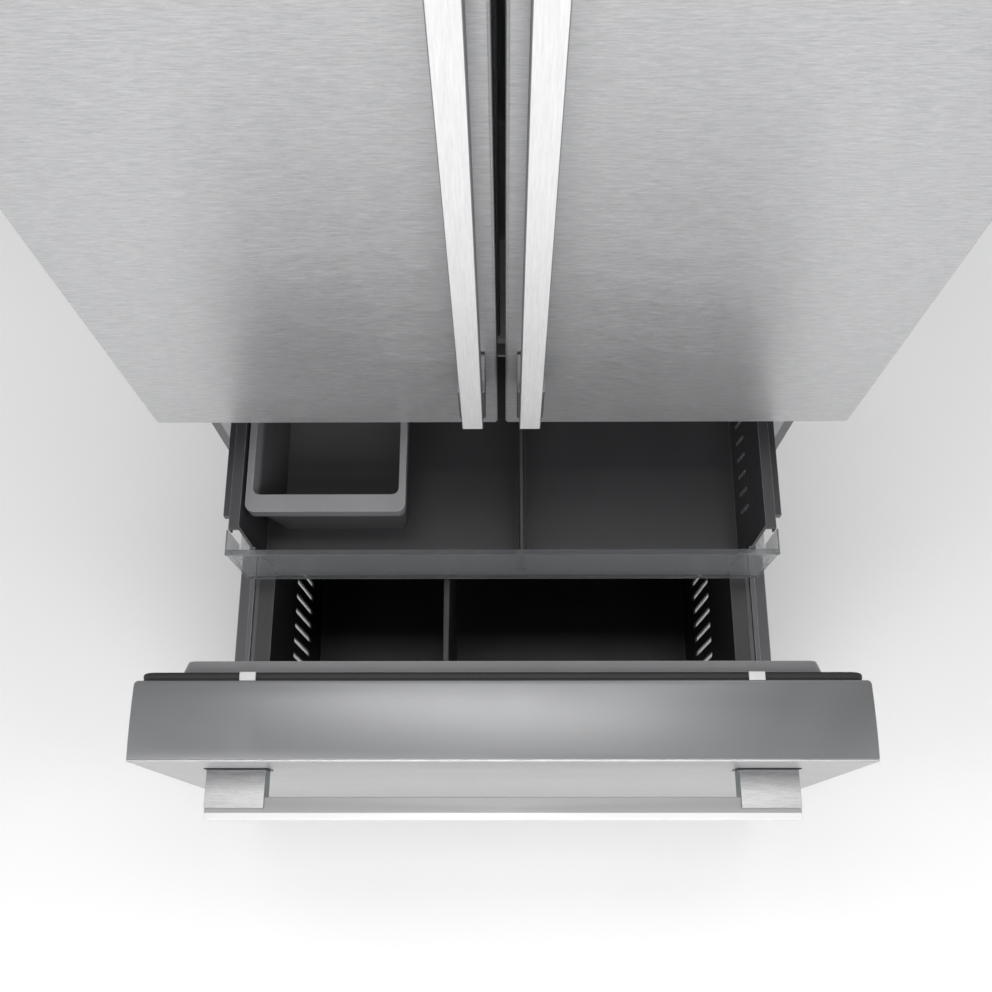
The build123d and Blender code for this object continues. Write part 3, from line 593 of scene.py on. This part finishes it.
dress(brushedSteel("doorSteel", alongX, doorLook), "left_door_panel", "right_door_panel")
dress(brushedSteel("shadedDrawerSteel", alongX, shadedDrawerLook), "drawer_panel")
dress(brushedSteel("uprightBarSteel", alongZ, uprightHighlightLook), "left_handle_bar", "right_handle_bar")
dress(lippedSteel("drawerBarSteel", drawerBarFrontY), "drawer_handle_bar")
dress(bracketSteel("uprightBracketSteel", doorFaceY), "left_handle_brackets", "right_handle_brackets")
dress(bracketSteel("drawerBracketSteel", drawerFaceY), "drawer_handle_brackets")
dress(satinPaint("capPaint", (0.24, 0.243, 0.25), rough=0.40), "drawer_cap")
dress(
    satinPaint("cabinetPaint", (0.17, 0.172, 0.178)),
    "cabinet_shell", "center_rail", "hinge_brackets",
)
dress(
    zincSheet("zinc"),
    "back_panel", "base_frame", "machine_cover", "fan_shroud", "cabinet_slides", "slide_middles",
    "shelf_ladders",
)
dress(satinPaint("railPaint", (0.10, 0.10, 0.11), metallic=0.4, rough=0.4), "drawer_rails")
dress(foamBlock("foam"), "cabinet_insulation")
dress(
    plastic("whiteLiner", (0.84, 0.85, 0.86), rough=0.32, grain=900.0, shade=0.96),
    "fridge_liner", "air_duct", "left_door_liner", "right_door_liner", "evaporator_cover",
)
dress(panelFinish("panelPlastic"), "control_panel")
dress(
    plastic("greyLiner", (0.40, 0.41, 0.43), rough=0.38, grain=900.0),
    "freezer_liner", "crisper_cover", "shelf_frames",
)
dress(plastic("mullionPlastic", (0.18, 0.185, 0.19), rough=0.4), "mullion_flap")
dress(plastic("basketPlastic", (0.035, 0.035, 0.038), rough=0.4), "lower_bin")
dress(plastic("dividerPlastic", (0.04, 0.04, 0.043)), "bin_divider", "tray_divider")
dress(plastic("trayPlastic", (0.042, 0.042, 0.046), rough=0.38), "tray_body")
dress(plastic("linerRaised", (0.22, 0.218, 0.225), rough=0.35), "drawer_liner")
dress(plastic("blackPlastic", (0.03, 0.03, 0.032), rough=0.45), "hinge_covers", "toe_grille")
dress(rimmedPlastic("iceBinPlastic", iceBinTop), "ice_bin")
dress(clearSheet("clearPanel", (0.46, 0.48, 0.50), body=0.06, cutEdge=(0.05, 0.055, 0.06)), "tray_front")
dress(
    clearSheet("clearBins", (0.86, 0.90, 0.92), body=0.14),
    "left_door_bins", "right_door_bins", "left_crisper", "right_crisper", "dairy_lid",
)
dress(clearSheet("shelfPane", (0.70, 0.86, 0.80), body=0.08, rough=0.03), "shelf_glass")
dress(rubber("sealRubber"), "left_door_gasket", "right_door_gasket", "drawer_gasket", "leveling_feet")
dress(plastic("clipPlastic", (0.56, 0.56, 0.57), rough=0.4), "drawer_clips")
dress(
    plastic(
        "blackEnamel", (0.018, 0.018, 0.02),
        rough=0.25, grain=300.0, depth=0.0002, edgeShine=0.2, coat=0.6,
    ),
    "compressor", "condenser_coil",
)
dress(brushedSteel("bareAluminium", alongX, coilLook), "evaporator_coil")
dress(
    plastic("fanPlastic", (0.04, 0.04, 0.043), rough=0.4),
    "condenser_fan", "evaporator_fan", "rear_rollers", "power_inlet",
)
dress(plastic("valvePlastic", (0.70, 0.72, 0.74), rough=0.35), "water_valve")
print("finishes placed:", len(finishes))


# softened edges on CAD nodes

# the width of each piece's softened edges
edgeSoftening = {
    "drawer_handle_brackets": 0.0007, "left_handle_brackets": 0.0007, "right_handle_brackets": 0.0007,
    "drawer_cap": 0.0012, "tray_front": 0.0008, "drawer_rails": 0.0005, "mullion_flap": 0.0006,
    "drawer_clips": 0.0005, "center_rail": 0.0006, "bin_divider": 0.001, "tray_divider": 0.001,
}
softening = dict(weld=0.00002, flatDegrees=1.0, cornerDegrees=35, segments=3)

# Weld and dissolve first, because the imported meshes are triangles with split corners.
for name, width in edgeSoftening.items():
    piece = nodes[name]
    weld = piece.modifiers.new("weld", "WELD")
    weld.merge_threshold = softening["weld"]
    flat = piece.modifiers.new("flat", "DECIMATE")
    flat.decimate_type = "DISSOLVE"
    flat.angle_limit = math.radians(softening["flatDegrees"])
    soft = piece.modifiers.new("soft", "BEVEL")
    soft.width = width
    soft.segments = softening["segments"]
    soft.limit_method = "ANGLE"
    soft.angle_limit = math.radians(softening["cornerDegrees"])
    soft.harden_normals = True
print("edges softened on", len(edgeSoftening), "nodes")


# pieces made here

# smooth is the sharpest turn in degrees that is still shaded as a curve
def meshPiece(name, build, body, material, smooth):
    mesh = bpy.data.meshes.new(name)
    shape = bmesh.new()
    build(shape)
    bmesh.ops.recalc_face_normals(shape, faces=shape.faces)
    for face in shape.faces:
        face.smooth = True
    for edge in shape.edges:
        if len(edge.link_faces) == 2 and edge.calc_face_angle() > math.radians(smooth):
            edge.smooth = False
    shape.to_mesh(mesh)
    shape.free()
    piece = bpy.data.objects.new(name, mesh)
    bpy.context.scene.collection.objects.link(piece)
    mesh.materials.append(material)
    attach(piece, body)
    return piece


# Joins each ring of points to the next with four-sided faces.
def joinRings(shape, rings):
    for ring, following in zip(rings, rings[1:]):
        for a in range(len(ring)):
            b = (a + 1) % len(ring)
            shape.faces.new((ring[a], ring[b], following[b], following[a]))


# Places round a rectangle with rounded corners in the XZ plane, each with its outward direction.
def roundedLoop(low, high, radius, steps):
    left, right, bottom, top = low.x + radius, high.x - radius, low.z + radius, high.z - radius
    corners = ((right, top, 0), (left, top, 90), (left, bottom, 180), (right, bottom, 270))
    for centreX, centreZ, start in corners:
        for step in range(steps + 1):
            angle = math.radians(start + 90 * step / steps)
            out = Vector((math.cos(angle), 0, math.sin(angle)))
            yield Vector((centreX, 0, centreZ)) + radius * out, out


gasketShape = dict(
    inset=0.006, cornerRadius=0.014, cornerSteps=8, smooth=60,
    # outline across the seal: outward, then away from the door, in millimetres
    outline=[
        (-6, 0), (6, 0), (6, 2.2), (4.9, 3.2), (5.6, 5), (5.9, 7.6), (5.2, 9.8), (3.8, 10.6), (2.5, 9.6),
        (1.8, 7.0), (0.7, 6.0), (-0.7, 6.0), (-1.8, 7.0), (-2.5, 9.6), (-3.8, 10.6), (-5.2, 9.8), (-5.9, 7.6),
        (-5.6, 5), (-4.9, 3.2), (-6, 2.2),
    ],
)


def gasket(name, node, body):
    low, high = boxOf(node)
    inset = Vector((gasketShape["inset"], 0, gasketShape["inset"]))

    def build(shape):
        loop = roundedLoop(low + inset, high - inset, gasketShape["cornerRadius"], gasketShape["cornerSteps"])
        rings = []
        for place, out in loop:
            rings.append([
                shape.verts.new(place + out * across / 1000 + Vector((0, low.y + away / 1000, 0)))
                for across, away in gasketShape["outline"]
            ])
        joinRings(shape, rings + rings[:1])

    piece = meshPiece(name, build, body, finishes["sealRubber"], gasketShape["smooth"])
    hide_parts(node)


gasket("drawerSeal", "drawer_gasket", "freezer_drawer")
gasket("leftDoorSeal", "left_door_gasket", "left_door")
gasket("rightDoorSeal", "right_door_gasket", "right_door")
print("seals made")


# Across and up are shares of the head's radius and height; the recess is a star of points sunk into the head.
screwShape = dict(
    radius=0.0042, height=0.0022, sides=20, levels=[(1.0, 0.0), (1.0, 0.35), (0.85, 0.75), (0.5, 1.0)],
    recessTip=0.42, recessRoot=0.16, tipEvery=5, recessUp=0.35, gap=0.0001, smooth=40,
)


# A domed head with a cross recess, its axis along the given direction.
def addScrew(shape, place, direction, size):
    radius, height = screwShape["radius"] * size, screwShape["height"] * size
    turn = Vector((0, 0, 1)).rotation_difference(Vector(direction)).to_matrix().to_4x4()
    there = Matrix.Translation(place) @ turn

    def point(step, across, up):
        angle = 2 * math.pi * step / screwShape["sides"]
        local = Vector((radius * across * math.cos(angle), radius * across * math.sin(angle), height * up))
        return shape.verts.new(there @ local)

    steps = range(screwShape["sides"])
    rings = [[point(step, across, up) for step in steps] for across, up in screwShape["levels"]]
    recess = []
    for step in steps:
        reach = screwShape["recessRoot"] if step % screwShape["tipEvery"] else screwShape["recessTip"]
        recess.append(point(step, reach, screwShape["recessUp"]))
    joinRings(shape, rings + [recess])
    shape.faces.new(recess)
    shape.faces.new(rings[0][::-1])


def screws(name, places, body, size):
    def build(shape):
        for place, direction in places:
            addScrew(shape, place, direction, size)

    piece = meshPiece(name, build, body, finishes["zinc"], screwShape["smooth"])


backScrews = dict(size=1.1, rows={"back_panel": 8, "machine_cover": 3}, fromEnd=0.012, fromSide=0.011)


def backScrewPlaces():
    for node, rows in backScrews["rows"].items():
        low, high = boxOf(node)
        bottom, top = low.z + backScrews["fromEnd"], high.z - backScrews["fromEnd"]
        for row in range(rows):
            z = bottom + (top - bottom) * row / (rows - 1)
            for x in (low.x + backScrews["fromSide"], high.x - backScrews["fromSide"]):
                yield Vector((x, high.y - screwShape["gap"], z)), (0, 1, 0)


screws("backScrews", list(backScrewPlaces()), "cabinet", backScrews["size"])

hingeScrews = dict(size=0.9, fromMiddle=(0.409, 0.424), behindFace=0.094, plateHeight=0.017)


# Heads on the hinge plates that lie on the middle rail.
def hingeScrewPlaces():
    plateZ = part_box("center_rail")[0][2] + hingeScrews["plateHeight"]
    for side in (-1, 1):
        for x in hingeScrews["fromMiddle"]:
            y = doorFaceY + hingeScrews["behindFace"]
            yield Vector((side * x, y, plateZ + screwShape["gap"])), (0, 0, 1)


screws("hingeScrews", list(hingeScrewPlaces()), "cabinet", hingeScrews["size"])

grubScrews = dict(size=0.55, behindFront=0.030, fromEnd=0.04)


# Set screws that hold the bars: below the drawer's brackets, and on the outer sides of the doors' brackets.
def grubScrewPlaces(node, body):
    low, high = boxOf(node)
    y, end = low.y + grubScrews["behindFront"], grubScrews["fromEnd"]
    if body == "freezer_drawer":
        below = low.z - screwShape["gap"]
        return [(Vector((x, y, below)), (0, 0, -1)) for x in (low.x + end, high.x - end)]
    outer = low.x if body == "left_door" else high.x
    away = (-1, 0, 0) if body == "left_door" else (1, 0, 0)
    return [(Vector((outer, y, z)), away) for z in (low.z + end, high.z - end)]


for node, body in (
    ("left_handle_brackets", "left_door"),
    ("right_handle_brackets", "right_door"),
    ("drawer_handle_brackets", "freezer_drawer"),
):
    screws(body + "GrubScrews", grubScrewPlaces(node, body), body, grubScrews["size"])
print("screws made")


copperLook = dict(brushedSteelLook, dark=(0.55, 0.26, 0.14), light=(0.75, 0.40, 0.24))
copper = brushedSteel("copperTube", alongZ, copperLook)
tubeShape = dict(radius=0.0032, roundness=4, smoothness=3)


def copperLine(name, points):
    curve = bpy.data.curves.new(name, "CURVE")
    curve.dimensions = "3D"
    curve.bevel_depth = tubeShape["radius"]
    curve.bevel_resolution = tubeShape["roundness"]
    line = curve.splines.new("NURBS")
    line.points.add(len(points) - 1)
    for point, place in zip(line.points, points):
        point.co = (*place, 1)
    line.order_u = tubeShape["smoothness"]
    line.use_endpoint_u = True
    curve.materials.append(copper)
    piece = bpy.data.objects.new(name, curve)
    bpy.context.scene.collection.objects.link(piece)
    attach(piece, "cabinet")


# From the top of the compressor, along the back of the condenser coil, and into the coil's first turn.
canLow, canHigh = boxOf("compressor")
coilHigh = boxOf("condenser_coil")[1]
canTop = Vector(((canLow.x + canHigh.x) / 2, (canLow.y + canHigh.y) / 2, canHigh.z))
overCan = Vector((canTop.x, coilHigh.y, canHigh.z))
besideCoil = Vector((coilHigh.x, coilHigh.y, canHigh.z))
dischargeRun = [
    (canTop, (-0.03, 0, -0.002)), (canTop, (-0.03, 0, 0.012)),
    (overCan, (-0.08, -0.002, 0.018)), (besideCoil, (0.03, -0.002, 0.014)),
    (coilHigh, (0.01, -0.003, 0.004)), (coilHigh, (-0.01, -0.003, -0.003)),
]
copperLine("dischargeLine", [start + Vector(offset) for start, offset in dischargeRun])
print("discharge line made")


# floor, lights, camera

floorLook = dict(
    half=7.0, squares=8, gap=0.0005, tone=(0.97, 0.97, 0.97), speck=(0.93, 0.93, 0.93), rough=0.85,
    grain=60.0, toneSize=0.8, bump=0.05, depth=0.0005,
)


def makeFloor():
    material, tree, shader = startMaterial("studioFloor", Roughness=floorLook["rough"])
    skin = useGroup(tree, mouldedGrain, Grain=floorLook["grain"], **{"Tone Size": floorLook["toneSize"]})
    tone = mixColours(tree, skin["Tone"], floorLook["speck"], floorLook["tone"])
    tree.links.new(tone, shader.inputs["Base Color"])
    addBump(tree, shader, skin["Height"], floorLook["bump"], floorLook["depth"])
    mesh = bpy.data.meshes.new("floor")
    shape = bmesh.new()
    squares = floorLook["squares"]
    bmesh.ops.create_grid(shape, x_segments=squares, y_segments=squares, size=floorLook["half"])
    shape.to_mesh(mesh)
    shape.free()
    mesh.materials.append(material)
    floor = bpy.data.objects.new("floor", mesh)
    floor.location.z = cadLow.z - floorLook["gap"]
    bpy.context.scene.collection.objects.link(floor)
    floor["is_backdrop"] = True


makeFloor()

studioWalls = dict(horizon=(0.60, 0.61, 0.63), zenith=(0.20, 0.205, 0.215), rise=(0.15, 0.85), strength=1.0)

world = bpy.data.worlds.new("studio")
bpy.context.scene.world = world
world.use_nodes = True
walls = world.node_tree
backdrop = walls.nodes["Background"]
height = split(walls, addNode(walls, "ShaderNodeTexCoord").outputs["Generated"])["Z"]
rise = rangeNode(walls, height, *studioWalls["rise"])
wallTone = mixColours(walls, rise, studioWalls["horizon"], studioWalls["zenith"])
walls.links.new(wallTone, backdrop.inputs["Color"])
backdrop.inputs["Strength"].default_value = studioWalls["strength"]

# each with its place, what it points at, its width and height, and its power in watts
softboxes = dict(
    overhead=((0.0, -2.7, 3.6), (0.0, -0.6, 0.3), (3.4, 1.8), 80),
    frontLow=((0.0, -2.6, 0.8), (0.0, -0.2, 0.9), (2.8, 1.2), 11),
    ceilingStrip=((0.0, 0.1, 3.3), (0.0, -0.65, 0.74), (2.0, 0.8), 29),
    leftFill=((-3.4, -1.2, 2.4), (0.0, -0.2, 0.6), (1.4, 2.4), 24),
    rightFill=((3.4, -1.2, 2.4), (0.0, -0.2, 0.6), (1.4, 2.4), 24),
)
lampTone = (1.0, 0.99, 0.97)


def addSoftbox(name, place, target, size, power):
    lamp = bpy.data.lights.new(name, "AREA")
    lamp.shape = "RECTANGLE"
    lamp.size, lamp.size_y = size
    lamp.energy = power
    lamp.color = lampTone
    box = bpy.data.objects.new(name, lamp)
    box.location = place
    box.rotation_euler = (Vector(target) - Vector(place)).to_track_quat("-Z", "Y").to_euler()
    bpy.context.scene.collection.objects.link(box)


for name, settings in softboxes.items():
    addSoftbox(name, *settings)

# A plain transfer keeps the pale floor and the bright bars as light as they are in the studio.
bpy.context.scene.view_settings.view_transform = "Standard"

# angles in degrees, lens and sensor in millimetres
cameraView = dict(
    place=(0.00372, -0.69407, 2.11179), pitch=70.688, turn=1.312, roll=-1.361, lens=41.07, sensor=36.0,
    nearest=0.02,
)
cameraData = bpy.data.cameras.new("camera")
cameraData.lens = cameraView["lens"]
cameraData.sensor_width = cameraView["sensor"]
cameraData.clip_start = cameraView["nearest"]
camera = bpy.data.objects.new("camera", cameraData)
turning = Matrix.Rotation(math.radians(cameraView["turn"]), 4, "Z")
tipping = Matrix.Rotation(math.radians(90 - cameraView["pitch"]), 4, "X")
rolling = Matrix.Rotation(math.radians(cameraView["roll"]), 4, "Z")
camera.matrix_world = Matrix.Translation(cameraView["place"]) @ turning @ tipping @ rolling
bpy.context.scene.collection.objects.link(camera)
bpy.context.scene.camera = camera
print("camera and lights set")
